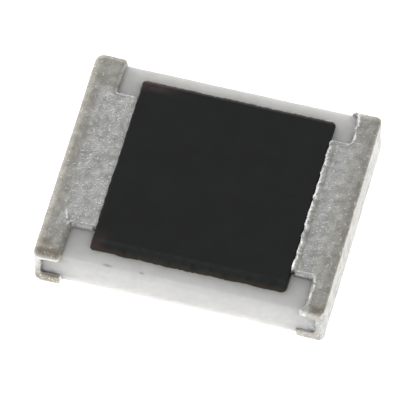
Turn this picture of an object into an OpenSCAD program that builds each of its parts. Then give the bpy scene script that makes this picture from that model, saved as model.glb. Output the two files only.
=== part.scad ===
// Thick-film chip resistor with plated wrap-around ends.
// X runs along the length, Y across the width and Z up from the board.
// The origin is the middle of the footprint, on the board's surface.

/* [Substrate] */
// Length of the alumina block
substrate_l = 3.04; // [2.6:0.02:3.6]
// Width of the alumina block between its snapped long sides
substrate_w = 2.56; // [2:0.02:3.2]
// Thickness of the alumina block
substrate_t = 0.49; // [0.35:0.01:0.8]
// Half width of the score grooves that the block was snapped along
score_run = 0.02; // [0.01:0.005:0.05]
// Depth of the score groove in the top face
score_top = 0.11; // [0.05:0.01:0.16]
// Depth of the score groove in the bottom face
score_bottom = 0.09; // [0.05:0.01:0.14]

/* [Printed electrodes] */
// Length of a top electrode, in from the end face
top_electrode_l = 0.7; // [0.6:0.01:0.9]
// Bare ceramic between a top electrode and the long side
top_electrode_inset = 0.425; // [0.3:0.005:0.6]
// Thickness of a top electrode
top_electrode_t = 0.03; // [0.02:0.001:0.04]
// Length of a bottom electrode, in from the end face
bottom_electrode_l = 0.42; // [0.3:0.01:0.6]
// Bare ceramic between a bottom electrode and the long side
bottom_electrode_inset = 0.23; // [0.1:0.01:0.5]
// Thickness of a bottom electrode
bottom_electrode_t = 0.02; // [0.015:0.001:0.03]
// Rounding of the paste along an electrode's side edges
print_edge_r = 0.01; // [0.004:0.001:0.014]

/* [Resistive film] */
// Length of film that lies on each top electrode
film_lap = 0.12; // [0.06:0.01:0.16]
// Step in from an electrode's side to the film's side
film_inset = 0.1; // [0.08:0.01:0.2]
// Thickness of the film
film_t = 0.01; // [0.006:0.001:0.014]
// Width of the laser trim cut
trim_cut_w = 0.04; // [0.02:0.005:0.06]
// Place of the trim cut along the length
trim_cut_x = -0.35; // [-0.5:0.05:0]
// Depth of the trim cut, in from the film's front side
trim_cut_depth = 0.55; // [0.3:0.05:0.8]
// Length of the trim cut's leg along the film
trim_cut_leg = 0.45; // [0.2:0.05:0.6]

/* [Glass and overcoat] */
// Reach of the glass past the film on every side
glass_margin = 0.045; // [0.02:0.005:0.06]
// Thickness of the glass
glass_t = 0.008; // [0.005:0.001:0.012]
// Reach of the overcoat past the glass at each end
coat_margin = 0.1; // [0.09:0.01:0.16]
// Bare ceramic between the overcoat and the long sides
coat_inset = 0.165; // [0.12:0.005:0.25]
// Overcoat above the glass where that lies highest
coat_cover = 0.012; // [0.006:0.001:0.03]
// Run of the overcoat's slope along the long sides
coat_side_slope = 0.08; // [0.02:0.005:0.1]
// Run of the overcoat's slope at each end
coat_end_slope = 0.02; // [0.01:0.005:0.04]
// Print offset of the overcoat along the length
coat_shift_x = 0.05; // [-0.05:0.01:0.05]
// Print offset of the overcoat across the width
coat_shift_y = 0.005; // [-0.05:0.005:0.05]

/* [Terminations] */
// Thickness of the edge electrode on the end face
edge_end_t = 0.055; // [0.04:0.005:0.1]
// Thickness of the edge electrode over the printed electrodes
edge_lap_t = 0.008; // [0.005:0.001:0.02]
// Reach of the left edge electrode over the top face
left_lap_l = 0.2; // [0.12:0.01:0.26]
// Reach of the right edge electrode over the top face
right_lap_l = 0.13; // [0.1:0.01:0.26]
// Reach of both edge electrodes under the bottom face
under_lap_l = 0.2; // [0.12:0.01:0.26]
// Rounding of the edge electrode's outer edges
edge_r = 0.055; // [0.03:0.005:0.055]
// Thickness of the nickel barrier
nickel_t = 0.01; // [0.005:0.001:0.015]
// Thickness of the tin plating
tin_t = 0.015; // [0.008:0.001:0.02]

/* [Hidden] */
$fn = 48;

LEFT = -1;
RIGHT = 1;

// Heights, from the board up
plating_t = nickel_t + tin_t;
substrate_z0 = plating_t + edge_lap_t + bottom_electrode_t;
substrate_z1 = substrate_z0 + substrate_t;
edge_z0 = plating_t;
edge_z1 = substrate_z1 + top_electrode_t + edge_lap_t;
coat_t = top_electrode_t + film_t + glass_t + coat_cover;

// Half lengths and widths, from the middle out
end_x = substrate_l / 2;
side_y = substrate_w / 2;
electrode_gap_x = end_x - top_electrode_l;
land_x = end_x - bottom_electrode_l;
film_x = electrode_gap_x + film_lap;
glass_x = film_x + glass_margin;
coat_x = glass_x + coat_margin;
top_electrode_y = side_y - top_electrode_inset;
bottom_electrode_y = side_y - bottom_electrode_inset;
film_y = top_electrode_y - film_inset;
glass_y = film_y + glass_margin;
coat_y = side_y - coat_inset;

// Overall thickness, and the reach of a cutter past what it cuts
chip_t = edge_z1 + plating_t;
past = chip_t;

// Extrudes an outline drawn in X and Z across the width
module along_y(w) {
    rotate([90, 0, 0])
        linear_extrude(w, center = true)
            children();
}

// Extrudes an outline drawn in Y and Z along the length
module along_x(l) {
    rotate([90, 0, 90])
        linear_extrude(l, center = true)
            children();
}

// A rectangle about the origin with round corners
module rounded_rect(size, r) {
    square([size[0] - 2 * r, size[1]], center = true);
    square([size[0], size[1] - 2 * r], center = true);
    for (x = [-1, 1], y = [-1, 1])
        translate([x * (size[0] / 2 - r), y * (size[1] / 2 - r)])
            circle(r);
}

// A block about the origin with its edges rounded all round
module rounded_block(size, r) {
    intersection() {
        along_y(size[1] + past) rounded_rect([size[0], size[2]], r);
        along_x(size[0] + past) rounded_rect([size[1], size[2]], r);
        linear_extrude(size[2] + past, center = true)
            rounded_rect([size[0], size[1]], r);
    }
}

// A box that lies on Z = 0, centred across the width
module slab(x0, x1, y, t) {
    translate([x0, -y, 0])
        cube([x1 - x0, 2 * y, t]);
}

// Puts a right-hand form at either end
module at_end(side) {
    if (side == LEFT)
        mirror([1, 0, 0]) children();
    else
        children();
}

// Puts a form that is drawn on Z = 0 onto the substrate's top face
module on_top() {
    translate([0, 0, substrate_z1])
        children();
}

// Puts the same form under the substrate's bottom face
module underneath() {
    translate([0, 0, substrate_z0])
        mirror([0, 0, 1])
            children();
}

// A printed electrode on Z = 0 with soft side edges, or that print with a plating grown on it
module printed_pad(x0, x1, y, t, grow) {
    translate([(x0 + x1) / 2, 0, 0])
        along_x(x1 - x0)
            intersection() {
                rounded_rect([2 * (y + grow), 2 * (t + grow)], print_edge_r + grow);
                translate([-y - past, 0]) square([2 * (y + past), t + past]);
            }
}

module top_electrode() {
    on_top() printed_pad(electrode_gap_x, end_x, top_electrode_y, top_electrode_t, 0);
}

module bottom_electrode() {
    underneath() printed_pad(land_x, end_x, bottom_electrode_y, bottom_electrode_t, 0);
}

module top_electrode_pair() {
    for (side = [LEFT, RIGHT])
        at_end(side) top_electrode();
}

// A layer on Z = 0 that climbs onto the top electrodes and keeps its thickness there
module layer_over_steps(t, x, y) {
    slab(-electrode_gap_x, electrode_gap_x, y, t);
    for (side = [LEFT, RIGHT])
        at_end(side) slab(electrode_gap_x - t, x, y, top_electrode_t + t);
}

module uncut_film() {
    difference() {
        on_top() layer_over_steps(film_t, film_x, film_y);
        top_electrode_pair();
    }
}

// The laser's path: a plunge from the front side, then a leg along the film
module trim_cut() {
    on_top() {
        translate([trim_cut_x - trim_cut_w / 2, -film_y - past, 0])
            cube([trim_cut_w, past + trim_cut_depth, coat_t]);
        translate([trim_cut_x - trim_cut_w / 2, trim_cut_depth - trim_cut_w - film_y, 0])
            cube([trim_cut_w + trim_cut_leg, trim_cut_w, coat_t]);
    }
}

// The overcoat's outside: a low slab with four sloping edges
module coat_form() {
    translate([coat_shift_x, coat_shift_y, 0])
        on_top()
            intersection() {
                along_y(2 * coat_y) sloping_outline(coat_x, coat_end_slope);
                along_x(2 * coat_x) sloping_outline(coat_y, coat_side_slope);
            }
}

module sloping_outline(half, run) {
    polygon([[-half, 0], [half, 0], [half - run, coat_t], [run - half, coat_t]]);
}

// How far an edge electrode reaches over the top face
function lap_l(side) = side == LEFT ? left_lap_l : right_lap_l;

// One lap of the dipped band, seen from the front: it fills the upper half of the band's height
module lap_outline(lap, outer_x, height, grow) {
    inner_x = end_x - lap - grow;
    length = outer_x + past - inner_x;
    translate([inner_x + length / 2, height / 4])
        rounded_rect([length, height / 2], edge_lap_t + grow);
}

// The dipped band at the right-hand end, with a plating of the given thickness grown on it
module band(top_lap, grow) {
    height = edge_z1 - edge_z0 + 2 * grow;
    outer_x = end_x + edge_end_t + grow;
    translate([0, 0, (edge_z0 + edge_z1) / 2])
        intersection() {
            rounded_block([2 * outer_x, substrate_w + 2 * grow, height], edge_r + grow);
            along_y(substrate_w + past) {
                lap_outline(top_lap, outer_x, height, grow);
                mirror([0, 1]) lap_outline(under_lap_l, outer_x, height, grow);
            }
        }
}

// The part of the snapped sides that the metal leaves bare, between the two score grooves
module bare_sides(grow) {
    z0 = score_bottom + grow;
    z1 = substrate_t - score_top - grow;
    translate([0, 0, substrate_z0 + z0])
        slab(grow - end_x, end_x - grow, side_y + past, z1 - z0);
}

// All the metal inside the outer face of one plating at the right-hand end
module plated_end(top_lap, grow) {
    difference() {
        union() {
            band(top_lap, grow);
            on_top() printed_pad(glass_x, end_x, top_electrode_y, top_electrode_t, grow);
            underneath() printed_pad(land_x - grow, end_x, bottom_electrode_y, bottom_electrode_t, grow);
        }
        bare_sides(grow);
    }
}

// One plating: the metal up to its outer face, less what it lies on and the overcoat it stops at
module plating(side, inner, outer) {
    difference() {
        at_end(side) plated_end(lap_l(side), outer);
        at_end(side) plated_end(lap_l(side), inner);
        substrate_form();
        coat_form();
    }
}

module edge_electrode(side) {
    difference() {
        at_end(side) band(lap_l(side), 0);
        substrate_form();
        at_end(side) top_electrode();
        at_end(side) bottom_electrode();
    }
}

// The block's section across its width: what is left of a score groove bevels each long edge
module substrate_form() {
    flat_y = side_y - score_run;
    wall_z = substrate_t - score_top;
    translate([0, 0, substrate_z0])
        along_x(substrate_l)
            polygon([
                [-flat_y, 0], [flat_y, 0], [side_y, score_bottom], [side_y, wall_z],
                [flat_y, substrate_t], [-flat_y, substrate_t], [-side_y, wall_z], [-side_y, score_bottom]
            ]);
}

module ceramic_substrate() color("whitesmoke") substrate_form();

module resistive_film() color([0.20, 0.19, 0.18]) {
    difference() {
        uncut_film();
        trim_cut();
    }
}

module glass_layer() color([0.25, 0.38, 0.32]) {
    difference() {
        on_top() layer_over_steps(film_t + glass_t, glass_x, glass_y);
        top_electrode_pair();
        uncut_film();
        trim_cut();
    }
}

module black_overcoat() color([0.14, 0.14, 0.15]) {
    difference() {
        coat_form();
        top_electrode_pair();
        resistive_film();
        glass_layer();
    }
}

module left_top_electrode() color([0.80, 0.79, 0.76]) at_end(LEFT) top_electrode();
module right_top_electrode() color([0.80, 0.79, 0.76]) at_end(RIGHT) top_electrode();
module left_bottom_electrode() color([0.80, 0.79, 0.76]) at_end(LEFT) bottom_electrode();
module right_bottom_electrode() color([0.80, 0.79, 0.76]) at_end(RIGHT) bottom_electrode();
module left_edge_electrode() color([0.72, 0.70, 0.66]) edge_electrode(LEFT);
module right_edge_electrode() color([0.72, 0.70, 0.66]) edge_electrode(RIGHT);
module left_nickel_barrier() color([0.66, 0.63, 0.56]) plating(LEFT, 0, nickel_t);
module right_nickel_barrier() color([0.66, 0.63, 0.56]) plating(RIGHT, 0, nickel_t);
module left_tin_plating() color([0.60, 0.60, 0.59]) plating(LEFT, nickel_t, plating_t);
module right_tin_plating() color([0.60, 0.60, 0.59]) plating(RIGHT, nickel_t, plating_t);

ceramic_substrate();
resistive_film();
glass_layer();
black_overcoat();
left_top_electrode();
right_top_electrode();
left_bottom_electrode();
right_bottom_electrode();
left_edge_electrode();
right_edge_electrode();
left_nickel_barrier();
right_nickel_barrier();
left_tin_plating();
right_tin_plating();
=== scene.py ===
"""Looks of a thick-film chip resistor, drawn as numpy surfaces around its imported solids."""

import math
from typing import NamedTuple

import bpy
import numpy as np
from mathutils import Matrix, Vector


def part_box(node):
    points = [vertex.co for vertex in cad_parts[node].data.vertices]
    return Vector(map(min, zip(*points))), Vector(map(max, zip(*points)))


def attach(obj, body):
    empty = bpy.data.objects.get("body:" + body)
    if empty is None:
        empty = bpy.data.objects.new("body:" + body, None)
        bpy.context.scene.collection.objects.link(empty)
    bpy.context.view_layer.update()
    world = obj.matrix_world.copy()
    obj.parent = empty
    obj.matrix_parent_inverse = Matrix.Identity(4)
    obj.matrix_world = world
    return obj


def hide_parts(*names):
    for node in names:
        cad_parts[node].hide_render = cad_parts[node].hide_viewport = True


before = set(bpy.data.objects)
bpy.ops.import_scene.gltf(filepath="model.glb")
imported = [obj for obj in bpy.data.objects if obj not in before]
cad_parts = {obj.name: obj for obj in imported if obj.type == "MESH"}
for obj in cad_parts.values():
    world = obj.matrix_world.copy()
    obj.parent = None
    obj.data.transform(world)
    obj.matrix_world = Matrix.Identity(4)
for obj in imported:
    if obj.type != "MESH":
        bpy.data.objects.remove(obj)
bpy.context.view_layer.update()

bl_info = {
    "name": "Chip Resistor",
    "version": (1, 0, 0),
    "blender": (4, 5, 0),
    "location": "3D View > Sidebar > Resistor",
    "description": "Ceramic, overcoat and plated ends of a surface-mount chip resistor",
    "category": "Object",
}

# Surfaces are worked out in millimetres and written to their meshes in metres.
MM = 0.001
LEFT = -1
RIGHT = 1
# Stations along a land's outline, points on a rounded corner and points that a path is measured by
STATIONS = 340
ARC_POINTS = 12
PATH_POINTS = 4000
# Share of the lip that stands for every point past it
PAST_LIP = 9.0
# Factors of the sine whose fraction gives the noise its values
HASH_COLUMN, HASH_ROW, HASH_SEED, HASH_GAIN = 127.1, 311.7, 74.7, 43758.5453
# Span of a noise's values that soft patches fade in over
PATCHES = (0.3, 0.7)
# Nicks in the ceramic's front top edge: place along X and width in millimetres, and share of the depth
NICKS = ((-0.785, 0.045, 0.6), (-0.41, 0.025, 0.45))


class EndWear(NamedTuple):
    """How one plated end departs from its rule: lengths in millimetres, dullness from 0 to 1."""
    lap_shift: float  # how much further in the top lap's edge lies
    lap_skew: float  # change of that shift for each millimetre towards the back
    wander: float  # waviness of the lap's edge
    jag: float  # raggedness of the edge at the coat
    coat_lip: float  # how much wider the lip is at the coat
    pad_fade: float  # run from the band's dull tin to the pad's bright tin
    band_dull: float
    face_dull: float
    seed: int


END_WEAR = {
    LEFT: EndWear(
        lap_shift=0.028, lap_skew=0.017, wander=0.006, jag=0.004, coat_lip=0.008, pad_fade=0.05,
        band_dull=1.0, face_dull=0.1, seed=31),
    RIGHT: EndWear(
        lap_shift=0.012, lap_skew=0.018, wander=0.010, jag=0.008, coat_lip=0.016, pad_fade=0.16,
        band_dull=0.75, face_dull=0.32, seed=21),
}


def box_mm(node):
    """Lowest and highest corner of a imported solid, in millimetres."""
    low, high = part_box(node)
    return np.array(low) / MM, np.array(high) / MM


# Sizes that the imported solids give
BLOCK_LOW, BLOCK_HIGH = box_mm("ceramic_substrate")
END_X, SIDE_Y, TOP_Z = BLOCK_HIGH
UNDER_Z = BLOCK_LOW[2]
COAT_LOW, COAT_HIGH = box_mm("black_overcoat")
COAT_T = COAT_HIGH[2] - TOP_Z
CHIP_X, CHIP_Y, CHIP_Z = box_mm("right_tin_plating")[1]
TIN_T = CHIP_X - box_mm("right_nickel_barrier")[1][0]
PLATING_T = CHIP_X - box_mm("right_edge_electrode")[1][0]
ELECTRODE_LOW, ELECTRODE_HIGH = box_mm("right_top_electrode")
GLASS_HIGH = box_mm("glass_layer")[1]
LAND_LOW, LAND_HIGH = box_mm("right_bottom_electrode")


def length(name, description, millimetres):
    """A length property, given in millimetres and kept in metres."""
    return bpy.props.FloatProperty(
        name=name, description=description, default=millimetres * MM, unit="LENGTH", precision=6
    )


def colour(name, description, rgb):
    """A colour property, in linear light."""
    return bpy.props.FloatVectorProperty(
        name=name, description=description, default=rgb, subtype="COLOR", min=0, max=1
    )


class CeramicSizes(bpy.types.PropertyGroup):
    """Form and colour of the ceramic block."""
    score_run: length("Score half width", "Half width of the grooves the block was snapped along", 0.02)
    score_top: length("Top score depth", "Depth of the score groove in the top face", 0.11)
    score_bottom: length("Bottom score depth", "Depth of the score groove in the bottom face", 0.09)
    edge_round: length("Edge rounding", "Rounding of the top edges", 0.018)
    grain: length("Snapped grain", "Height of the grain on the snapped sides", 0.004)
    white: colour("Ceramic", "Colour of the fired alumina", (0.80, 0.80, 0.79))
    # This colour also lays the painted shade beside the bands and in front of the left pad
    dirt_and_shade: colour("Dirt", "Colour of the dirt in the nicks", (0.10, 0.08, 0.06))


class CoatSizes(bpy.types.PropertyGroup):
    """Form and colour of the printed black coat."""
    soft_front: length("Soft front", "Run of the slope along the front side", 0.11)
    soft_back: length("Soft back", "Run of the slope along the back side", 0.07)
    end_run: length("End run", "Run of the slope at the two ends", 0.02)
    corner: length("Corner", "Rounding of the coat's corners", 0.06)
    left_corner: length("Left corner", "Rounding of the coat's front left corner", 0.03)
    left_short: length("Left shortfall", "How far the coat stays short of its left end", 0.013)
    ragged: length("Ragged edge", "Waviness of the printed outline", 0.008)
    black: colour("Coat", "Colour of the coat where it is thick", (0.0042, 0.0052, 0.0050))
    thin: colour("Thin coat", "Colour of the coat where it runs thin", (0.085, 0.065, 0.040))
    tinge: colour("Tinge", "Colour of the coat at its tinged corners", (0.088, 0.054, 0.052))


class TinSizes(bpy.types.PropertyGroup):
    """Form and colour of the plated ends."""
    left_lap: length("Left lap", "Reach of the left band over the top face", 0.2)
    right_lap: length("Right lap", "Reach of the right band over the top face", 0.13)
    under_lap: length("Under lap", "Reach of both bands under the bottom face", 0.2)
    edge_round: length("Edge rounding", "Rounding of the bands' outer edges", 0.095)
    left_crown: length("Left crown", "Run of the slow bend from the top to the left end face", 0.09)
    right_crown: length("Right crown", "Run of the bend from the top to the right end face", 0.07)
    right_round: length("Right rounding", "Height of the bends above and below the right end face", 0.05)
    left_arm: length("Left arm", "How far down the sides the left band's upper arms reach", 0.13)
    right_arm: length("Right arm", "How far down the sides the right band's upper arms reach", 0.14)
    foot_arm: length("Foot arm", "How far up the sides the bands' lower arms reach", 0.19)
    window_round: length("Window rounding", "Rounding of the bare windows' outer corners", 0.03)
    lip_round: length("Lip rounding", "Rounding of the plating's inner lips", 0.03)
    soft_lip: length("Soft lip", "Rounding of the left band's inner lip", 0.055)
    left_swell: length("Left swell", "How far the left band stands out past the right one's sides", 0.025)
    bead: length("Bead", "Height of the bead along the right end's lips", 0.022)
    bead_lap: length("Bead lap", "How far the bead lies over the coat's right end", 0.006)
    tuck: length("Tuck", "How far the left pad's tip lies past the packed coat's left end", 0.029)
    flare: length("Flare", "Spread of the right band's rims towards the middle", 0.06)
    ridge: length("Ridge", "Height of the left pad's proud front corner", 0.012)
    lump: length("Lumps", "Height of the lumps in the plating", 0.0022)
    tin: colour("Tin", "Colour of the plated tin", (0.81, 0.81, 0.80))
    olive: colour("Band tin", "Colour of the duller tin on the bands", (0.575, 0.565, 0.515))
    # This colour also lays the painted shade along the left crown
    stain_and_shade: colour("Stain", "Colour of the brown stain on the rims", (0.37, 0.30, 0.215))
    # This colour also lays the painted highlights
    fleck_and_highlight: colour("Fleck", "Colour of the bright grit and flakes", (1.0, 1.0, 0.99))


class StageLook(bpy.types.PropertyGroup):
    """Camera and light."""
    azimuth: bpy.props.FloatProperty(
        name="Azimuth", description="Turn of the camera about the chip",
        default=math.radians(14.772), subtype="ANGLE")
    elevation: bpy.props.FloatProperty(
        name="Elevation", description="Height of the camera above the board",
        default=math.radians(57.734), subtype="ANGLE")
    distance: length("Distance", "From the camera to the chip", 87.7)
    lens: bpy.props.FloatProperty(
        name="Lens", description="Focal length in millimetres", default=700, min=1)
    dome: bpy.props.FloatProperty(
        name="Dome", description="Brightness of the light from above", default=0.42, min=0)
    lamp: bpy.props.FloatProperty(
        name="Lamp", description="Brightness of the wide lamp at the back left", default=0.65, min=0)
    floor_glow: bpy.props.FloatProperty(
        name="Floor glow", description="Brightness that the lit floor gives off", default=0.75, min=0)


def lattice(column, row, seed):
    """A fixed value from -1 to 1 for each lattice point: the fraction of a large sine."""
    hashed = np.sin(column * HASH_COLUMN + row * HASH_ROW + seed * HASH_SEED) * HASH_GAIN
    return 2 * (hashed - np.floor(hashed)) - 1


def lumps(a, b, size, seed):
    """Smooth noise of the given grain size: lattice values blended by a cubic across each cell."""
    a, b = np.broadcast_arrays(a / size, b / size)
    column, row = np.floor(a), np.floor(b)
    fa, fb = a - column, b - row
    fa, fb = fa * fa * (3 - 2 * fa), fb * fb * (3 - 2 * fb)
    near = lattice(column, row, seed) * (1 - fa) + lattice(column + 1, row, seed) * fa
    far = lattice(column, row + 1, seed) * (1 - fa) + lattice(column + 1, row + 1, seed) * fa
    return near * (1 - fb) + far * fb


def blob(x, centre, width):
    """A bell of height 1 about a centre."""
    return np.exp(-((x - centre) / width) ** 2)


def ease(x, low, high):
    """A smooth step from 0 at low to 1 at high."""
    t = np.clip((x - low) / (high - low), 0, 1)
    return t * t * (3 - 2 * t)


def quarter_round(t):
    """Height of a quarter circle: 0 at t = 0, 1 with a level tangent from t = 1 on."""
    return np.sqrt(np.maximum(1 - (1 - np.clip(t, 0, 1)) ** 2, 0))


def unit(vectors):
    """Vectors scaled to length 1."""
    return vectors / np.linalg.norm(vectors, axis=-1, keepdims=True)


def rounded_path(corners, radii, closed):
    """A polyline whose corners are arcs: each arc turns from one tangent point to the other
    about a centre on the corner's bisector."""
    corners = np.array(corners, float)
    ring = corners if closed else corners[1:-1]
    before = np.roll(corners, 1, 0) if closed else corners[:-2]
    after = np.roll(corners, -1, 0) if closed else corners[2:]
    back, on = unit(before - ring), unit(after - ring)
    half = np.arccos(np.clip(np.sum(back * on, -1), -1, 1))[:, None] / 2
    radii = np.array(radii, float)[:, None]
    centre = ring + unit(back + on) * radii / np.sin(half)
    start = ring + back * radii / np.tan(half) - centre
    stop = ring + on * radii / np.tan(half) - centre
    turn = (math.pi - 2 * half)[:, None]
    t = np.linspace(0, 1, ARC_POINTS)[None, :, None]
    arcs = (np.sin((1 - t) * turn) * start[:, None] + np.sin(t * turn) * stop[:, None]) / np.sin(turn)
    path = (centre[:, None] + arcs).reshape(-1, 2)
    if closed:
        return np.vstack([path, path[:1]])
    return np.vstack([corners[:1], path, corners[-1:]])


def resample(path, count, weight=None):
    """Points spread evenly along a path, or evenly in its weighted length."""
    dense_at = np.linspace(0, 1, PATH_POINTS)
    run = np.concatenate([[0], np.cumsum(np.linalg.norm(np.diff(path, axis=0), axis=-1))])
    dense = np.stack([np.interp(dense_at * run[-1], run, path[:, k]) for k in (0, 1)], -1)
    steps = np.linalg.norm(np.diff(dense, axis=0), axis=-1)
    if weight is not None:
        steps = steps * weight((dense[1:] + dense[:-1]) / 2)
    run = np.concatenate([[0], np.cumsum(steps)])
    at = np.linspace(0, run[-1], count)
    return np.stack([np.interp(at, run, dense[:, k]) for k in (0, 1)], -1)


def grid_quads(at):
    """Quads of a grid of point numbers, wound from the columns' direction to the rows'."""
    return np.stack([at[:-1, :-1], at[:-1, 1:], at[1:, 1:], at[1:, :-1]], -1).reshape(-1, 4)


def make_piece(name, points, faces, attributes):
    """A smooth mesh object at the origin from points in millimetres, face lists and point attributes."""
    mesh = bpy.data.meshes.new(name)
    mesh.from_pydata((points * MM).tolist(), [], faces)
    for label, values in attributes.items():
        layer = mesh.attributes.new(label, "FLOAT", "POINT")
        layer.data.foreach_set("value", np.ascontiguousarray(values, dtype=np.float32).ravel())
    mesh.polygons.foreach_set("use_smooth", [True] * len(mesh.polygons))
    mesh.update()
    piece = bpy.data.objects.new(name, mesh)
    bpy.context.scene.collection.objects.link(piece)
    return piece


class Signal:
    """A number in a node tree. Arithmetic on it adds Math nodes."""

    def __init__(self, sheet, socket):
        self.sheet = sheet
        self.socket = socket

    def maths(self, operation, *values):
        """The result of one Math node."""
        sockets = dict(enumerate(values))
        return self.sheet.number("ShaderNodeMath", {"operation": operation}, sockets, "Value")

    def __add__(self, other):
        return self.maths("ADD", self, other)

    def __radd__(self, other):
        return self.maths("ADD", other, self)

    def __sub__(self, other):
        return self.maths("SUBTRACT", self, other)

    def __rsub__(self, other):
        return self.maths("SUBTRACT", other, self)

    def __mul__(self, other):
        return self.maths("MULTIPLY", self, other)

    def __rmul__(self, other):
        return self.maths("MULTIPLY", other, self)

    def step(self, low, high):
        """A smooth step from 0 at low to 1 at high."""
        sockets = {"Value": self, "From Min": low, "From Max": high}
        settings = {"interpolation_type": "SMOOTHSTEP"}
        return self.sheet.number("ShaderNodeMapRange", settings, sockets, "Result")


class NodeSheet:
    """The node tree of one finish."""

    def __init__(self, tree):
        self.tree = tree
        tree.nodes.clear()

    def node(self, kind, settings, sockets):
        """A node of the given kind, with its settings first and then its sockets' values or links."""
        made = self.tree.nodes.new(kind)
        for name, value in settings.items():
            setattr(made, name, value)
        for key, value in sockets.items():
            if isinstance(value, Signal):
                self.tree.links.new(value.socket, made.inputs[key])
            elif isinstance(value, bpy.types.NodeSocket):
                self.tree.links.new(value, made.inputs[key])
            else:
                made.inputs[key].default_value = value
        return made

    def number(self, kind, settings, sockets, output):
        """A node's number output."""
        return Signal(self, self.node(kind, settings, sockets).outputs[output])

    def place(self):
        """Object coordinates, in metres."""
        return self.node("ShaderNodeTexCoord", {}, {}).outputs["Object"]

    def grain(self, place, size_mm, detail=2.0, roughness=0.5):
        """Noise whose grain has the given size, from 0 to 1."""
        sockets = {"Vector": place, "Scale": 1 / (size_mm * MM), "Detail": detail, "Roughness": roughness}
        return self.number("ShaderNodeTexNoise", {}, sockets, "Fac")

    def attribute(self, label):
        """A point attribute of the piece."""
        return self.number("ShaderNodeAttribute", {"attribute_name": label}, {}, "Fac")

    def blend(self, amount, first, second):
        """A colour between two others."""
        made = self.node("ShaderNodeMix", {"data_type": "RGBA"}, {0: amount, 6: first, 7: second})
        return made.outputs[2]

    def bump(self, height, depth_mm):
        """A normal from a height of 0 to 1 that stands for the given depth."""
        sockets = {"Height": height, "Distance": depth_mm * MM}
        return self.node("ShaderNodeBump", {}, sockets).outputs["Normal"]

    def surface(self, sockets):
        """The finish's shader and its output."""
        shader = self.node("ShaderNodeBsdfPrincipled", {}, sockets)
        self.node("ShaderNodeOutputMaterial", {}, {"Surface": shader.outputs["BSDF"]})


def new_finish(name):
    """A material and the sheet of its nodes."""
    material = bpy.data.materials.new(name)
    material.use_nodes = True
    return material, NodeSheet(material.node_tree)


def rgba(rgb, gain=1.0):
    """A colour with full alpha, its light multiplied by a gain."""
    return (*(min(1.0, gain * c) for c in rgb), 1.0)


def alumina_finish(look):
    """Fired alumina: near white, faintly mottled, with fine grain, dirt in its nicks and painted shade
    beside the bands and in front of the left pad.
    """
    material, sheet = new_finish("fired_alumina")
    place = sheet.place()
    mottle = sheet.grain(place, size_mm=0.12, detail=4.0)
    fine = sheet.grain(place, size_mm=0.012, detail=3.0, roughness=0.6)
    white = sheet.blend(mottle.step(*PATCHES), rgba(look.white), rgba(look.white, gain=1.05))
    sheet.surface({
        # This colour marks the nicks and also lays the painted shade beside the bands
        "Base Color": sheet.blend(sheet.attribute("dirt_and_shade"), white, rgba(look.dirt_and_shade)),
        "Roughness": 0.5 + 0.2 * fine,
        "Subsurface Weight": 1.0,
        "Subsurface Radius": (1.0, 0.95, 0.9),
        "Subsurface Scale": 0.25 * MM,
        "Normal": sheet.bump(fine, depth_mm=0.0012),
    })
    return material


def coat_finish(look):
    """Printed epoxy: charcoal black with a fine tooth, made paler on its front slope by painted light,
    tinged at two corners and brown where it runs thin."""
    material, sheet = new_finish("black_print")
    place = sheet.place()
    tooth = sheet.grain(place, size_mm=0.015, detail=3.0, roughness=0.6)
    cloud = sheet.grain(place, size_mm=0.25, detail=3.0)
    cloudy = sheet.blend(cloud.step(*PATCHES), rgba(look.black), rgba(look.black, gain=1.5))
    # Painted light makes the front slope paler
    slope_lit = sheet.blend(sheet.attribute("slope"), cloudy, rgba(look.black, gain=5.5))
    tinged = sheet.blend(sheet.attribute("tinge"), slope_lit, rgba(look.tinge))
    sheet.surface({
        "Base Color": sheet.blend(sheet.attribute("thin"), tinged, rgba(look.thin)),
        "Roughness": 0.45 + 0.2 * tooth,
        "Specular IOR Level": 0.38,
        "Normal": sheet.bump(tooth, depth_mm=0.001),
    })
    return material


def tin_finish(look):
    """Matt electroplated tin: bright grit and flakes, cloudy dull patches, pits, brown stains, painted shade
    and painted highlights.
    """
    material, sheet = new_finish("matte_tin")
    place = sheet.place()
    grit = sheet.grain(place, size_mm=0.013).step(0.60, 0.66)
    speckle = sheet.grain(place, size_mm=0.024, detail=3.0, roughness=0.6)
    cloud = sheet.grain(place, size_mm=0.09, detail=4.0, roughness=0.6)
    flake = sheet.grain(place, size_mm=0.032, detail=1.0).step(0.66, 0.70)
    dull = sheet.attribute("dull")
    metal = sheet.blend(dull, rgba(look.tin), rgba(look.olive))
    cloudy = sheet.blend(cloud.step(0.35, 0.7) * 0.7, metal, rgba(look.olive, gain=0.68))
    pitted = sheet.blend(speckle.step(0.55, 0.7) * 0.35, cloudy, rgba(look.olive, gain=0.6))
    # The stain colour also lays the painted shade along the left crown
    stain_and_shade = sheet.attribute("stain_and_shade") * (0.7 + 0.5 * cloud.step(*PATCHES))
    stained_and_shaded = sheet.blend(stain_and_shade, pitted, rgba(look.stain_and_shade))
    # Painted highlights from the shades are added to the bright grit and flakes
    fleck_and_highlight = (0.8 * grit + flake) * (1 - 0.5 * dull) + sheet.attribute("painted_highlight")
    sheet.surface({
        "Base Color": sheet.blend(fleck_and_highlight, stained_and_shaded, rgba(look.fleck_and_highlight)),
        "Metallic": 1.0,
        "Roughness": 0.22 + 0.16 * cloud + 0.28 * dull - 0.08 * fleck_and_highlight,
        "Normal": sheet.bump(fleck_and_highlight + speckle + cloud, depth_mm=0.0035),
    })
    return material


def layer_finish(name, dark, pale, metallic, roughness, grain_mm):
    """A hidden layer: a fired or plated surface with a cloudy grain between two tones."""
    material, sheet = new_finish(name)
    cloud = sheet.grain(sheet.place(), grain_mm, detail=4.0, roughness=0.6)
    sheet.surface({
        "Base Color": sheet.blend(cloud.step(*PATCHES), rgba(dark), rgba(pale)),
        "Metallic": metallic,
        "Roughness": roughness + 0.15 * cloud,
        "Normal": sheet.bump(cloud, depth_mm=0.002),
    })
    return material


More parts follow.
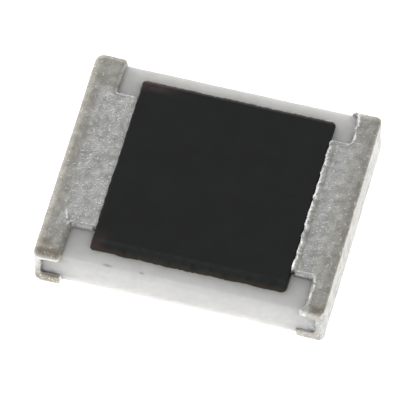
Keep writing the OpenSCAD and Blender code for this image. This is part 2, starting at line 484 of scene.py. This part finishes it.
def ceramic_surface(look):
    """The block's section in Y and Z, a loop with round corners, carried along X. Points move along
    the section's normal: by noise on the snapped sides and by bells at the nicks of the top edge."""
    run, top, bottom = look.score_run / MM, look.score_top / MM, look.score_bottom / MM
    flat_y, wall_top, wall_under = SIDE_Y - run, TOP_Z - top, UNDER_Z + bottom
    corners = [
        (-flat_y, UNDER_Z), (flat_y, UNDER_Z), (SIDE_Y, wall_under), (SIDE_Y, wall_top),
        (flat_y, TOP_Z), (-flat_y, TOP_Z), (-SIDE_Y, wall_top), (-SIDE_Y, wall_under),
    ]
    edge = look.edge_round / MM
    path = rounded_path(corners, [edge, edge, 2 * edge, 3 * edge, edge, edge, 3 * edge, 2 * edge], True)
    # Points lie ten times as close on the sides as on the level faces
    ring_points, rings, on_faces, on_sides = 150, 240, 0.1, 1.0
    loop = resample(
        path, ring_points + 1,
        lambda p: np.where(np.abs(p[:, 0]) < flat_y - 2 * edge, on_faces, on_sides))[:-1]
    ahead = unit(np.roll(loop, -1, 0) - np.roll(loop, 1, 0))
    out = np.stack([ahead[:, 1], -ahead[:, 0]], -1)
    x = np.linspace(-END_X, END_X, rings)[:, None]
    y, z = loop[None, :, 0], loop[None, :, 1]

    # The two sides draw their noise far apart
    snapped = ease(np.abs(y), flat_y, flat_y + run / 2)
    grain = lumps(x, z + np.sign(y) * 9, size=0.035, seed=1) + 1.5 * lumps(x, z + y, size=0.4, seed=2)
    worn = np.maximum(lumps(x, np.sign(y) * 7 + 0 * z, size=0.06, seed=3), 0)
    wear_reach, nick_depth, worn_depth = 0.014, 0.010, 0.005
    on_edge = np.exp(-((np.abs(y) - flat_y) ** 2 + (z - TOP_Z) ** 2) / wear_reach ** 2)
    nicks = sum(share * blob(x, place, width) for place, width, share in NICKS) * (y < 0)
    move = snapped * (look.grain / MM) * grain - on_edge * (nick_depth * nicks + worn_depth * worn)
    points = np.stack([x + 0 * move, y + out[None, :, 0] * move, z + out[None, :, 1] * move], -1)

    ring = np.arange(rings * ring_points).reshape(rings, ring_points)
    wide = np.concatenate([ring, ring[:, :1]], 1)
    middle_z = (TOP_Z + UNDER_Z) / 2
    hubs = np.array([[-END_X, 0, middle_z], [END_X, 0, middle_z]])
    left_hub, right_hub = rings * ring_points, rings * ring_points + 1
    left_cap = np.stack([np.full(ring_points, left_hub), wide[0, 1:], wide[0, :-1]], -1)
    right_cap = np.stack([np.full(ring_points, right_hub), wide[-1, :-1], wide[-1, 1:]], -1)
    faces = grid_quads(wide).tolist() + left_cap.tolist() + right_cap.tolist()

    # Dirt lies in the nicks; painted shade darkens the sides beside the bands, most just above the lower
    # arms, and the top in front of the left pad
    shade_beside_band = ease(np.abs(x), END_X - 0.42, END_X - 0.04) * ease(np.abs(y), flat_y, SIDE_Y)
    shade_beside_band = shade_beside_band * (0.28 + 0.12 * blob(z, UNDER_Z + 0.16, 0.06)) * np.where(x < 0, 0.9, 0.3)
    # Painted shade on the top in front of the left pad, in the dirt colour
    shade_before_pad = ease(-x, 0.95, 1.15) * ease(-y, 0.85, 0.9) * ease(y, -1.2, -0.95) * (z > TOP_Z - 0.01)
    dirt_and_shade = np.clip(np.ravel(on_edge * nicks * 1.3 + shade_beside_band + 0.06 * shade_before_pad), 0, 1)
    return np.vstack([points.reshape(-1, 3), hubs]), faces, {"dirt_and_shade": np.append(dirt_and_shade, [0, 0])}


def coat_surface(look):
    """A square grid drawn out to the coat's outline, its corners mapped to quarter discs. The top is a
    plateau that falls away as a sine at the sides and a quarter circle at the ends, and the underside
    follows the layers below."""
    # Grid lines crowd together over the outer share of each half
    crowded, inner_lines, outer_lines = 0.86, 70, 26
    fine = np.concatenate([
        np.linspace(0, crowded, inner_lines), np.linspace(crowded, 1, outer_lines)[1:]])
    s = np.concatenate([-fine[:0:-1], fine])
    low = COAT_LOW + [look.left_short / MM, 0, 0]
    middle, half = (low + COAT_HIGH) / 2, (COAT_HIGH - low) / 2
    p, q = np.meshgrid(s * half[0], s * half[1], indexing="ij")
    r = np.where((p < 0) & (q < 0), look.left_corner, look.corner) / MM
    in_p = np.clip((np.abs(p) - (half[0] - r)) / r, 0, 1)
    in_q = np.clip((np.abs(q) - (half[1] - r)) / r, 0, 1)
    x = np.sign(p) * (np.minimum(np.abs(p), half[0] - r) + r * in_p * np.sqrt(1 - in_q ** 2 / 2))
    y = np.sign(q) * (np.minimum(np.abs(q), half[1] - r) + r * in_q * np.sqrt(1 - in_p ** 2 / 2))

    # The outline is ragged, and a high power keeps that to the border
    ragged, border = look.ragged / MM, 12
    near_end, near_side = (np.abs(p) / half[0]) ** border, (np.abs(q) / half[1]) ** border
    x = x + middle[0] + near_end * ragged * lumps(y, np.sign(p), size=0.13, seed=11)
    frayed = lumps(x, np.sign(q), size=0.16, seed=12) + 0.7 * lumps(x, np.sign(q), size=0.028, seed=13)
    y = y + middle[1] + near_side * ragged * frayed

    to_end, to_side = half[0] - np.abs(p), half[1] - np.abs(q)
    soft = np.where(q < 0, look.soft_front, look.soft_back) / MM
    rise = np.sin(math.pi / 2 * np.clip(to_side / soft, 0, 1))
    rise = rise * quarter_round(to_end / (look.end_run / MM))
    sag = 0.0015 * lumps(x, y, size=0.35, seed=14) + 0.0006 * lumps(x, y, size=0.08, seed=15) - 0.002
    top = TOP_Z + rise * (COAT_T + sag)
    on_electrode = (np.abs(x) > ELECTRODE_LOW[0]) & (np.abs(y) < ELECTRODE_HIGH[1])
    on_glass = (np.abs(x) < GLASS_HIGH[0]) & (np.abs(y) < GLASS_HIGH[1])
    electrode_t, glass_step, least_coat = ELECTRODE_HIGH[2] - TOP_Z, GLASS_HIGH[2] - ELECTRODE_HIGH[2], 0.001
    under = np.minimum(TOP_Z + electrode_t * on_electrode + glass_step * on_glass, top - least_coat)

    # The coat is thin and brown along the sides and tinged at two corners; painted light makes its front
    # slope paler
    bare = 0.55 + 0.45 * lumps(x, y, size=0.05, seed=16)
    patchy = 0.35 + 0.5 * bare
    thin = np.clip(1 - rise / patchy, 0, 1) * (to_side < to_end + 0.05)
    behind = ease(0.19 - to_side, 0, 0.09) * ease(-x, 0.5, 0.85) * (q > 0)
    front_left = 1.6 * blob(np.hypot(x - low[0], y - low[1]), 0, 0.15)
    back_right = 0.12 * blob(np.hypot(x - COAT_HIGH[0], y - COAT_HIGH[1]), 0, 0.14)
    tinge = np.clip(patchy * (behind + front_left) + back_right, 0, 1)
    # Painted light: the front slope is paler, as if it caught more light than the plateau
    slope = ease(1.3 * soft - to_side, 0, 0.5 * soft) * (y < 0)
    slope = np.clip(slope * (0.4 + 1.1 * bare), 0, 1)

    # Top and underside share their border points
    rows, columns = x.shape
    inside = (slice(1, -1), slice(1, -1))
    upper = np.arange(rows * columns).reshape(rows, columns)
    lower = upper.copy()
    lower[inside] = rows * columns + np.arange((rows - 2) * (columns - 2)).reshape(rows - 2, columns - 2)
    above = np.stack([x, y, top], -1).reshape(-1, 3)
    below = np.stack([x, y, under], -1)[inside].reshape(-1, 3)
    faces = np.concatenate([grid_quads(upper)[:, ::-1], grid_quads(lower)]).tolist()
    shades = {"thin": thin, "tinge": tinge, "slope": slope}
    shades = {label: np.append(shade, 0 * shade[inside]) for label, shade in shades.items()}
    return np.concatenate([above, below]), faces, shades


def land_path(lap_x, pad_x, pad_y, rim_y):
    """A land's inner outline from front to back: a T with rounded corners, in X and Y."""
    corners = [
        (lap_x, -rim_y), (lap_x, -pad_y), (pad_x, -pad_y),
        (pad_x, pad_y), (lap_x, pad_y), (lap_x, rim_y),
    ]
    root_r, tip_r = 0.016, 0.06
    return resample(rounded_path(corners, [root_r, tip_r, tip_r, root_r], False), STATIONS)


def into_metal(line):
    """Unit normals of an outline, towards the metal."""
    ahead = unit(np.gradient(line, axis=0))
    return np.stack([ahead[:, 1], -ahead[:, 0]], -1)


def end_line(line, rim_y, corner_y):
    """Y where each station's ruling meets the end: straight behind the bands, fanned out behind the pad."""
    run = np.concatenate([[0], np.cumsum(np.linalg.norm(np.diff(line, axis=0), axis=-1))])
    to_corner = rim_y - corner_y
    to_pad = to_corner + line[0, 0] - line[:, 0].min()
    # Runs to the rim, just before and after the T's inner corner and to the pad's tip, and Y at the end
    knots = np.array([0, to_corner - 0.03, to_corner + 0.02, to_pad])
    spread = np.array([-rim_y, -corner_y - 0.02, 0.08 - corner_y, 0.2 - corner_y])
    knots = np.concatenate([knots, run[-1] - knots[::-1]])
    return np.interp(run, knots, np.concatenate([spread, -spread[::-1]]))


def ruled_land(line, inward, lip, goal_x, goal_y):
    """A level land: near its outline the points lie at set shares of the lip, then on straight rulings
    to the end. Gives X, Y and the distance to the outline as a share of the lip."""
    lip_rows, land_rows, crowding, past = 11, 24, 1.5, 1.1
    share = np.linspace(0, 1, lip_rows) ** crowding * past
    reach = lip[:, None] * share
    inner = line[:, None] + inward[:, None] * reach[..., None]
    goal = np.stack([np.full_like(goal_y, goal_x), goal_y], -1)[:, None]
    far = np.linspace(0, 1, land_rows)[1:]
    flat = inner[:, -1:] + (goal - inner[:, -1:]) * far[None, :, None]
    both = np.concatenate([inner, flat], 1)
    shares = np.broadcast_to(np.concatenate([share, np.full(len(far), PAST_LIP)]), both.shape[:2])
    return both[..., 0], both[..., 1], shares


def rim_rings(sheet, station, sign, round_r, flare, score):
    """The stations of one rim, from its foot on the snapped side up to the level land: each point moves
    from the station's profile towards the bare window, first on a quarter circle about X or Z and then
    straight down the side. Gives outer points, their feet on the ceramic and the distance to the foot."""
    qx, qz = sheet["x"][station], sheet["z"][station]
    fx, fz = sheet["foot_x"][station], sheet["foot_z"][station]
    ix, iz = sheet["window_x"][station], sheet["window_z"][station]
    run, deep_top, deep_under = score
    wall_rows, turn_rows, crowding, least_wall, least_metal = 9, 11, 1.4, 0.004, 0.002
    flare_end, flare_fade = CHIP_X - 0.1, 0.12
    reach = np.hypot(ix - qx, iz - qz)
    level = np.maximum(reach - round_r, least_wall)
    side_y = sheet["side_y"]
    q = np.linspace(0, 1, wall_rows)[:, None] ** crowding
    turn = np.linspace(math.pi / 2, 0, turn_rows)[1:-1, None]
    offset = np.concatenate([round_r + level * (1 - q), round_r * (1 - np.cos(turn)) + 0 * level])
    rim_y = np.concatenate([side_y + 0 * q * level, side_y - round_r * (1 - np.sin(turn)) + 0 * level])
    cosine = np.concatenate([0 * q, np.cos(turn)])
    climb = np.concatenate([level * q, level + round_r * (math.pi / 2 - turn)])
    # The flare dies out towards the level land and towards the end
    spread = np.concatenate([1 + 0 * q, ease(turn, 0.1, 0.9)])
    spread = spread * ease(flare_end - qx, 0, flare_fade) * (qz > TOP_Z)
    x, z = qx + (ix - qx) / reach * offset - flare * spread, qz + (iz - qz) / reach * offset
    foot_x, foot_z = x + (fx - qx) * cosine, z + (fz - qz) * cosine
    groove = np.maximum(
        np.clip((foot_z - TOP_Z + deep_top) / deep_top, 0, 1),
        np.clip((UNDER_Z + deep_under - foot_z) / deep_under, 0, 1))
    foot_y = np.minimum(rim_y - least_metal, SIDE_Y - run * groove)
    return np.stack([x, sign * rim_y, z], -1), np.stack([foot_x, sign * foot_y, foot_z], -1), climb


def end_profile(end_x, top_run, run, top_z, low_z):
    """An end's section in X and Z: a quarter ellipse down from the top, a straight stretch and a
    quarter circle in underneath. Gives X, Z and how far down the end each point lies, from 0 to 1."""
    turn_rows, face_rows = 15, 24
    turn = np.linspace(0, math.pi / 2, turn_rows)[1:]
    face = np.linspace(0, 1, face_rows)[1:-1]
    under = turn - turn[0]
    x = [end_x - top_run * (1 - np.sin(turn)), end_x + 0 * face, end_x - run * (1 - np.cos(under))]
    z = [top_z - run * (1 - np.cos(turn)), top_z - run - (top_z - low_z - 2 * run) * face,
         low_z + run * (1 - np.sin(under))]
    down = [0 * turn, face, 1 + 0 * turn]
    return np.concatenate(x), np.concatenate(z), np.concatenate(down)


def tin_sheet(look, side):
    """The level, end and bottom stretches of one plated end, before its rims: u runs along the land's
    outline from front to back, v from the outline over the top, round the end and in underneath."""
    wear = END_WEAR[side]
    lap = (look.left_lap if side == LEFT else look.right_lap) / MM
    crown = (look.left_crown if side == LEFT else look.right_crown) / MM
    arm = (look.left_arm if side == LEFT else look.right_arm) / MM
    round_r = look.edge_round / MM
    end_r = round_r if side == LEFT else look.right_round / MM
    side_y = CHIP_Y + (look.left_swell / MM if side == LEFT else 0)
    rim_y = side_y - round_r
    pad_y = ELECTRODE_HIGH[1] + PLATING_T
    lap_x = END_X - lap - PLATING_T
    coat_end = COAT_HIGH[0] - look.bead_lap / MM if side == RIGHT else -COAT_LOW[0] - look.tuck / MM

    # The top land's outline, with its stretches along the bands, beside the pad and at the coat
    top_line = land_path(lap_x, coat_end, pad_y, rim_y)
    on_band = ease(np.abs(top_line[:, 1]), pad_y - 0.01, pad_y + 0.06)
    at_coat = ease(coat_end + 0.06 - top_line[:, 0], 0, 0.04)
    on_coat = ease(coat_end + 0.03 - top_line[:, 0], 0, 0.02)
    pad_side = (1 - on_band) * (1 - at_coat)
    inward = into_metal(top_line)

    # Its lap edges are skewed and wander, and its edge at the coat is jagged
    along, still = top_line[:, 1], 0 * top_line[:, 1]
    wander = lumps(along, still, size=0.07, seed=41 + side)
    jag = lumps(along, still, size=0.06, seed=51) + 0.6 * lumps(along, still, size=0.025, seed=52)
    skew = wear.lap_shift + wear.lap_skew * along
    top_line[:, 0] -= ease(top_line[:, 0], lap_x - 0.1, lap_x) * skew
    top_line[:, 0] -= wear.wander * wander * on_band
    top_line[:, 0] -= at_coat * jag * wear.jag
    pad_lip, bead_lip = 0.010, 0.03
    lip = look.lip_round / MM + pad_lip * pad_side
    band_lip = look.soft_lip / MM - lip if side == LEFT else bead_lip
    lip = lip + wear.coat_lip * at_coat + band_lip * on_band

    # Level rulings over the top and underneath
    under_y = LAND_HIGH[1] + PLATING_T
    under_line = land_path(END_X - look.under_lap / MM - PLATING_T, LAND_LOW[0] - PLATING_T, under_y, rim_y)
    top_goal, under_goal = end_line(top_line, rim_y, pad_y), end_line(under_line, rim_y, under_y)
    top_x, top_y, top_share = ruled_land(top_line, inward, lip, CHIP_X - crown, top_goal)
    under_lip = np.full(STATIONS, look.lip_round / MM)
    low_x, low_y, low_share = ruled_land(
        under_line, into_metal(under_line), under_lip, CHIP_X - end_r, under_goal)

    # The end's profile, and the bare window's that the rims turn towards
    bend_x, bend_z, down = end_profile(CHIP_X, crown, end_r, CHIP_Z, 0)
    window_inset, squeeze = 0.012, 0.1
    window_r, window_x = look.window_round / MM, END_X - window_inset
    window_top, window_low = CHIP_Z - arm, look.foot_arm / MM
    inner_x, inner_z, _ = end_profile(window_x, window_r, window_r, window_top, window_low)
    top_end, low_end, window_end = CHIP_X - crown, CHIP_X - end_r, window_x - window_r
    top_squeeze = (window_end - top_end) * ease(top_x, top_end - squeeze, top_end)
    low_squeeze = (window_end - low_end) * ease(low_x, low_end - squeeze, low_end)
    ones = np.ones((STATIONS, 1))
    bend_y = top_goal[:, None] * (1 - down) + under_goal[:, None] * down

    # Heights: the pad lies between the plated electrode's height and the band's
    pad_start, bead_sink = CHIP_X - 0.15, 0.004
    to_pad = pad_start - top_x
    pad = ease(pad_y + 0.01 - np.abs(top_y), 0, 0.05) * ease(to_pad, -0.02, 0.12)
    pad_top = (ELECTRODE_HIGH[2] + PLATING_T + CHIP_Z) / 2
    x = np.concatenate([top_x, ones * bend_x, low_x[:, ::-1]], 1)
    z = np.concatenate([CHIP_Z + (pad_top - CHIP_Z) * pad, ones * bend_z, 0 * low_x], 1)
    blank = np.zeros((STATIONS, len(bend_x) + low_x.shape[1]))
    on_top = np.concatenate([np.ones_like(top_x), blank], 1)
    coat_foot = COAT_T - bead_sink if side == RIGHT else ELECTRODE_HIGH[2] - TOP_Z

    # The bands and the groove behind the bead are dull, the pad is bright
    on_pad = ease(pad_y + 0.04 - np.abs(top_y), 0, 0.04) * ease(to_pad, 0, wear.pad_fade)
    groove = blob(top_x - top_x[:, :1], lip[:, None] + 0.016, 0.013) * at_coat[:, None] * (side == RIGHT)
    top_dull = (1 - on_pad) * (wear.band_dull - 0.1 * ease(top_y, 0.1, 0.8))
    bend_dull = wear.band_dull * ease(bend_z, CHIP_Z - 0.95 * end_r, CHIP_Z - 0.53 * end_r)
    return {
        "side_y": side_y,
        "x": x,
        "y": np.concatenate([top_y, bend_y, low_y[:, ::-1]], 1),
        "z": z,
        "foot_x": np.minimum(x, END_X),
        "foot_z": np.clip(z, UNDER_Z, TOP_Z) + on_coat[:, None] * on_top * coat_foot,
        "window_x": np.concatenate([
            top_x + top_squeeze, ones * inner_x, (low_x + low_squeeze)[:, ::-1]], 1),
        "window_z": np.concatenate([
            window_top + 0 * top_x, ones * inner_z, window_low + 0 * low_x], 1),
        "share": np.concatenate([top_share, PAST_LIP + 0 * (ones * bend_x), low_share[:, ::-1]], 1),
        "dull": np.concatenate([
            np.maximum(top_dull, groove), ones * np.maximum(bend_dull, wear.face_dull), 0 * low_x], 1),
        "beaded": (at_coat + on_band)[:, None] * on_top,
        "groove": np.concatenate([groove, blank], 1),
        "pad_side": pad_side[:, None] * on_top,
    }


def proud_corner(x, y):
    """Height of the left pad's proud front corner: a leaning crest with a trough beside it, each a bell
    across X, and a round knob."""
    crest_x, crest_y, lean, width, trough = 1.347, -0.794, 0.42, 0.014, 0.03
    knob_x, knob_y, knob_r = 1.295, -0.87, 0.022
    crest = crest_x + lean * (y - crest_y)
    ridge = blob(x, crest, width) - 0.7 * blob(x, crest + trough, width)
    knob = blob(np.hypot(x - knob_x, y - knob_y), 0, knob_r)
    return ease(-y, 0.68, 0.76) * ease(y, -0.92, -0.88) * ridge + knob


def tin_shades(look, side, points, marks):
    """How dull and stained the points of one plated end are, where painted shade darkens them and where
    painted highlights lie, from 0 to 1.
    """
    x, y, z = points[..., 0], points[..., 1], points[..., 2]
    share, groove, side_y = marks["share"], marks["groove"], marks["side_y"]
    patchy = 0.5 + 0.5 * lumps(x + z, y, size=0.08, seed=END_WEAR[side].seed + 4)

    # The side arms are dull low down
    dull_under, foot_top = 0.44, 0.21
    low_down = ease(dull_under - z, 0, 0.05)
    dull = np.clip(marks["dull"] * (0.75 + 0.5 * patchy), 0, 1)
    dull = np.maximum(dull, (0.1 + 0.5 * low_down) * ease(np.abs(y), side_y - 0.02, side_y - 0.005))

    # Stains lie on the turn onto the sides and the front's lower arms; a darker band runs along the end's
    # top edge
    turn_foot = CHIP_Z - 0.068
    on_turn = blob(np.abs(y), side_y - 0.045, 0.055) * ease(z, turn_foot, turn_foot + 0.02)
    on_turn = on_turn * np.where(y < 0, 0.55, 0.15)
    on_side = ease(-y, side_y - 0.04, side_y - 0.01)
    on_foot = on_side * ease(foot_top - z, 0, 0.03) * (0.4 + 0.6 * ease(z, 0.02, 0.17))
    if side == LEFT:
        # Painted shade: a band along the left crown, in the stain colour, dims its bright rim
        crown_darkening = blob(x, CHIP_X - 0.03, 0.03) * ease(z, CHIP_Z - 0.06, CHIP_Z - 0.02)
        smudge = blob(y, -1.16, 0.05) * ease(x, 1.38, 1.46) * ease(z, CHIP_Z - 0.04, CHIP_Z - 0.01)
        stain_and_shade = on_turn + 0.55 * on_foot + 0.2 * on_side * low_down + 0.35 * crown_darkening + 0.4 * smudge
        # Painted highlight: a bright line on the front's upper arm, just above the bare window
        arm_foot = CHIP_Z - look.left_arm / MM
        painted_highlight = ease(z, arm_foot - 0.01, arm_foot + 0.01) * ease(arm_foot + 0.065 - z, 0, 0.03)
        painted_highlight = 0.7 * on_side * painted_highlight
    else:
        wave = 0.01 * lumps(y, 0 * y, size=0.22, seed=END_WEAR[side].seed + 5)
        crown_darkening = blob(x, CHIP_X - 0.012, 0.022) * ease(z + wave, CHIP_Z - 0.042, CHIP_Z - 0.032)
        crown_darkening = crown_darkening * (0.3 + 0.3 * patchy) * (0.5 + 0.5 * ease(-y, -0.5, -0.1))
        stain_and_shade = on_turn * ease(x, 1.34, 1.44) + 0.3 * groove * patchy + 0.3 * on_foot + crown_darkening
        by_edge = ease(x, CHIP_X - 0.13, CHIP_X - 0.09) * ease(z, CHIP_Z - 0.045, CHIP_Z - 0.03)
        dull = np.maximum(dull, 0.95 * by_edge)
        # Painted highlight on the right band's front corner, where its rim flares
        flare_x, flare_y, flare_r = 1.41, -1.265, 0.03
        painted_highlight = 0.8 * blob(np.hypot(x - flare_x, y - flare_y), 0, flare_r) * (z > TOP_Z - 0.03)
    # Painted highlight on the front wall of the pad's sides, near its outline
    painted_highlight = painted_highlight + 0.6 * marks["pad_side"] * ease(1.15 - share, 0, 0.3) * (y < 0)
    return {"dull": dull, "stain_and_shade": np.clip(stain_and_shade, 0, 1), "painted_highlight": painted_highlight}


def tin_surface(look, side, score):
    """One plated end as a sheet of two parameters, with a rim turned onto the snapped side at its front
    and back. Lumps, the bead along the right end's lips and the left pad's proud corner lift it, and
    along its border it is drawn down to the ceramic by a quarter round, or by a sine on the left front."""
    sheet = tin_sheet(look, side)
    rim = (look.edge_round / MM, look.flare / MM if side == RIGHT else 0, score)
    front, front_foot, front_climb = rim_rings(sheet, 0, -1, *rim)
    back, back_foot, back_climb = (part[::-1] for part in rim_rings(sheet, -1, 1, *rim))
    level = np.stack([sheet["x"], sheet["y"], sheet["z"]], -1)
    level_foot = np.stack([sheet["foot_x"], sheet["y"], sheet["foot_z"]], -1)
    outer = np.concatenate([front, level, back])
    foot = np.concatenate([front_foot, level_foot, back_foot])
    climb = np.concatenate([front_climb, 1 + 0 * sheet["x"], back_climb])
    rims = len(front)
    marks = {
        mark: np.concatenate([
            np.repeat(sheet[mark][:1], rims, 0), sheet[mark], np.repeat(sheet[mark][-1:], rims, 0)])
        for mark in ("share", "dull", "beaded", "groove", "pad_side")
    }
    marks["side_y"] = sheet["side_y"]

    x, y, z = outer[..., 0], outer[..., 1], outer[..., 2]
    share, seed = marks["share"], END_WEAR[side].seed
    lump = lumps(x + z, y, size=0.10, seed=seed) + 0.35 * lumps(x + z, y, size=0.035, seed=seed + 1)
    lump = look.lump / MM * lump
    if side == RIGHT:
        bead_at, bead_width = 0.6, 0.42
        bead = marks["beaded"] * blob(share, bead_at, bead_width)
        jag = 0.75 + 0.5 * lumps(y, 0 * y, size=0.07, seed=seed + 2)
        jag = jag + 0.4 * lumps(y, 0 * y, size=0.022, seed=seed + 3)
        lump = lump + look.bead / MM * np.clip(jag, 0.3, 1.2) * bead
        marks["dull"] = marks["dull"] * (1 - 0.8 * bead)
    else:
        lump = lump + look.ridge / MM * proud_corner(x, y) * (z > TOP_Z)
    lump = np.where(z < UNDER_Z, -np.abs(lump), lump)
    outer = outer + unit(outer - foot) * lump[..., None]

    gentle, foot_r = ease(-y, 0, 0.2) * (side == LEFT), 0.02
    lip = quarter_round(share) * (1 - gentle) + np.sin(math.pi / 2 * np.clip(share, 0, 1)) * gentle
    drawn = lip * quarter_round(climb / foot_r)
    points = foot + (outer - foot) * drawn[..., None]
    shades = tin_shades(look, side, points, marks)
    points[..., 0] *= side
    quads = grid_quads(np.arange(share.size).reshape(share.shape))
    if side == LEFT:
        quads = quads[:, ::-1]
    return points.reshape(-1, 3), quads.tolist(), shades


class RESISTOR_OT_ceramic(bpy.types.Operator):
    """Makes the snapped ceramic block"""
    bl_idname = "resistor.ceramic"
    bl_label = "Ceramic block"

    def execute(self, context):
        look = context.scene.chip_ceramic
        piece = make_piece("ceramic_block", *ceramic_surface(look))
        piece.data.materials.append(alumina_finish(look))
        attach(piece, "root")
        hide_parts("ceramic_substrate")
        return {"FINISHED"}


class RESISTOR_OT_coat(bpy.types.Operator):
    """Makes the printed black coat"""
    bl_idname = "resistor.coat"
    bl_label = "Black coat"

    def execute(self, context):
        look = context.scene.chip_coat
        piece = make_piece("black_coat", *coat_surface(look))
        piece.data.materials.append(coat_finish(look))
        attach(piece, "root")
        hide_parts("black_overcoat")
        return {"FINISHED"}


class RESISTOR_OT_tin(bpy.types.Operator):
    """Makes the two plated ends"""
    bl_idname = "resistor.tin"
    bl_label = "Plated ends"

    def execute(self, context):
        look = context.scene.chip_tin
        block = context.scene.chip_ceramic
        score = (block.score_run / MM, block.score_top / MM, block.score_bottom / MM)
        finish = tin_finish(look)
        for side, word in ((LEFT, "left"), (RIGHT, "right")):
            piece = make_piece(word + "_tin_end", *tin_surface(look, side, score))
            piece.data.materials.append(finish)
            wall = piece.modifiers.new("plating", "SOLIDIFY")
            wall.thickness = TIN_T * MM
            wall.offset = -1
            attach(piece, "root")
            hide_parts(word + "_tin_plating")
        return {"FINISHED"}


class RESISTOR_OT_layers(bpy.types.Operator):
    """Gives the layers under the coat and the tin their finishes"""
    bl_idname = "resistor.layers"
    bl_label = "Hidden layers"

    def execute(self, context):
        paste = layer_finish(
            "resistive_paste", dark=(0.03, 0.03, 0.03), pale=(0.06, 0.06, 0.055),
            metallic=0.0, roughness=0.6, grain_mm=0.03)
        glass = layer_finish(
            "primary_glass", dark=(0.08, 0.13, 0.10), pale=(0.12, 0.19, 0.15),
            metallic=0.0, roughness=0.2, grain_mm=0.06)
        silver = layer_finish(
            "fired_silver", dark=(0.62, 0.61, 0.58), pale=(0.80, 0.79, 0.76),
            metallic=1.0, roughness=0.4, grain_mm=0.03)
        dipped = layer_finish(
            "dipped_silver", dark=(0.52, 0.50, 0.46), pale=(0.66, 0.64, 0.60),
            metallic=1.0, roughness=0.5, grain_mm=0.04)
        nickel = layer_finish(
            "plated_nickel", dark=(0.46, 0.44, 0.39), pale=(0.58, 0.55, 0.49),
            metallic=1.0, roughness=0.35, grain_mm=0.05)
        finishes = {"resistive_film": paste, "glass_layer": glass}
        for word in ("left", "right"):
            finishes[word + "_top_electrode"] = silver
            finishes[word + "_bottom_electrode"] = silver
            finishes[word + "_edge_electrode"] = dipped
            finishes[word + "_nickel_barrier"] = nickel
        for node, finish in finishes.items():
            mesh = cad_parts[node].data
            mesh.materials.clear()
            mesh.materials.append(finish)
        return {"FINISHED"}


class RESISTOR_OT_stage(bpy.types.Operator):
    """Makes the lit floor, the soft surrounding light and the camera"""
    bl_idname = "resistor.stage"
    bl_label = "Stage"

    def execute(self, context):
        scene = context.scene
        look = scene.chip_stage
        half = 400.0
        corners = np.array([[-half, -half, 0], [half, -half, 0], [half, half, 0], [-half, half, 0]])
        floor = make_piece("floor", corners, [[0, 1, 2, 3]], {})
        material, sheet = new_finish("lit_floor")
        sheet.surface({
            "Base Color": (0.9, 0.9, 0.9, 1.0),
            "Roughness": 0.9,
            "Emission Color": (1.0, 1.0, 1.0, 1.0),
            "Emission Strength": look.floor_glow,
        })
        floor.data.materials.append(material)

        # Light near the horizon grows towards the back left, where a wide lamp stands
        world = bpy.data.worlds.new("soft_surround")
        world.use_nodes = True
        scene.world = world
        sheet = NodeSheet(world.node_tree)
        direction = sheet.node("ShaderNodeTexCoord", {}, {}).outputs["Generated"]
        split = sheet.node("ShaderNodeSeparateXYZ", {}, {0: direction})
        x, y, z = (Signal(sheet, split.outputs[k]) for k in range(3))
        glow_back, glow_left, dimmest, growth = 0.85, 0.55, 0.33, 0.77
        lamp_back, lamp_left, lamp_up = 0.70, 0.64, 0.32
        glow = (y * glow_back - x * glow_left).step(-0.55, 0.75)
        high = z.step(0.05, 0.75)
        lamp = (y * lamp_back - x * lamp_left + z * lamp_up).step(0.81, 0.92)
        light = (dimmest + growth * glow) * (1 - high) + look.dome * high + look.lamp * lamp
        backdrop = sheet.node("ShaderNodeBackground", {}, {"Color": light})
        sheet.node("ShaderNodeOutputWorld", {}, {"Surface": backdrop.outputs["Background"]})

        # The camera looks at a point near the chip's middle
        lens = bpy.data.cameras.new("camera")
        lens.lens = look.lens
        lens.sensor_width = 36
        lens.clip_start = 0.001
        lens.clip_end = 2.0
        camera = bpy.data.objects.new("camera", lens)
        scene.collection.objects.link(camera)
        a, e = look.azimuth, look.elevation
        back = Vector((math.sin(a) * math.cos(e), -math.cos(a) * math.cos(e), math.sin(e)))
        aim = Vector((0.0532, -0.1536, 0.3)) * MM
        camera.location = aim + back * look.distance
        camera.rotation_euler = (-back).to_track_quat("-Z", "Y").to_euler()
        scene.camera = camera
        scene.view_settings.view_transform = "Standard"
        return {"FINISHED"}


class RESISTOR_PT_panel(bpy.types.Panel):
    """Lists the resistor's pieces and its sizes"""
    bl_idname = "RESISTOR_PT_panel"
    bl_label = "Chip Resistor"
    bl_space_type = "VIEW_3D"
    bl_region_type = "UI"
    bl_category = "Resistor"

    def draw(self, context):
        for operator in OPERATORS:
            self.layout.operator(operator.bl_idname)
        for group in SETTINGS:
            box = self.layout.box()
            settings = getattr(context.scene, group)
            for name in settings.__annotations__:
                box.prop(settings, name)


SETTINGS = {
    "chip_ceramic": CeramicSizes,
    "chip_coat": CoatSizes,
    "chip_tin": TinSizes,
    "chip_stage": StageLook,
}
OPERATORS = (
    RESISTOR_OT_stage, RESISTOR_OT_ceramic, RESISTOR_OT_coat, RESISTOR_OT_tin, RESISTOR_OT_layers,
)
CLASSES = (*SETTINGS.values(), *OPERATORS, RESISTOR_PT_panel)


def register():
    for cls in CLASSES:
        bpy.utils.register_class(cls)
    for name, group in SETTINGS.items():
        setattr(bpy.types.Scene, name, bpy.props.PointerProperty(type=group))


def unregister():
    for name in SETTINGS:
        delattr(bpy.types.Scene, name)
    for cls in reversed(CLASSES):
        bpy.utils.unregister_class(cls)


def main():
    """Makes the stage and all pieces."""
    register()
    bpy.ops.resistor.stage()
    bpy.ops.resistor.ceramic()
    bpy.ops.resistor.coat()
    bpy.ops.resistor.tin()
    bpy.ops.resistor.layers()


if __name__ == "__main__":
    main()
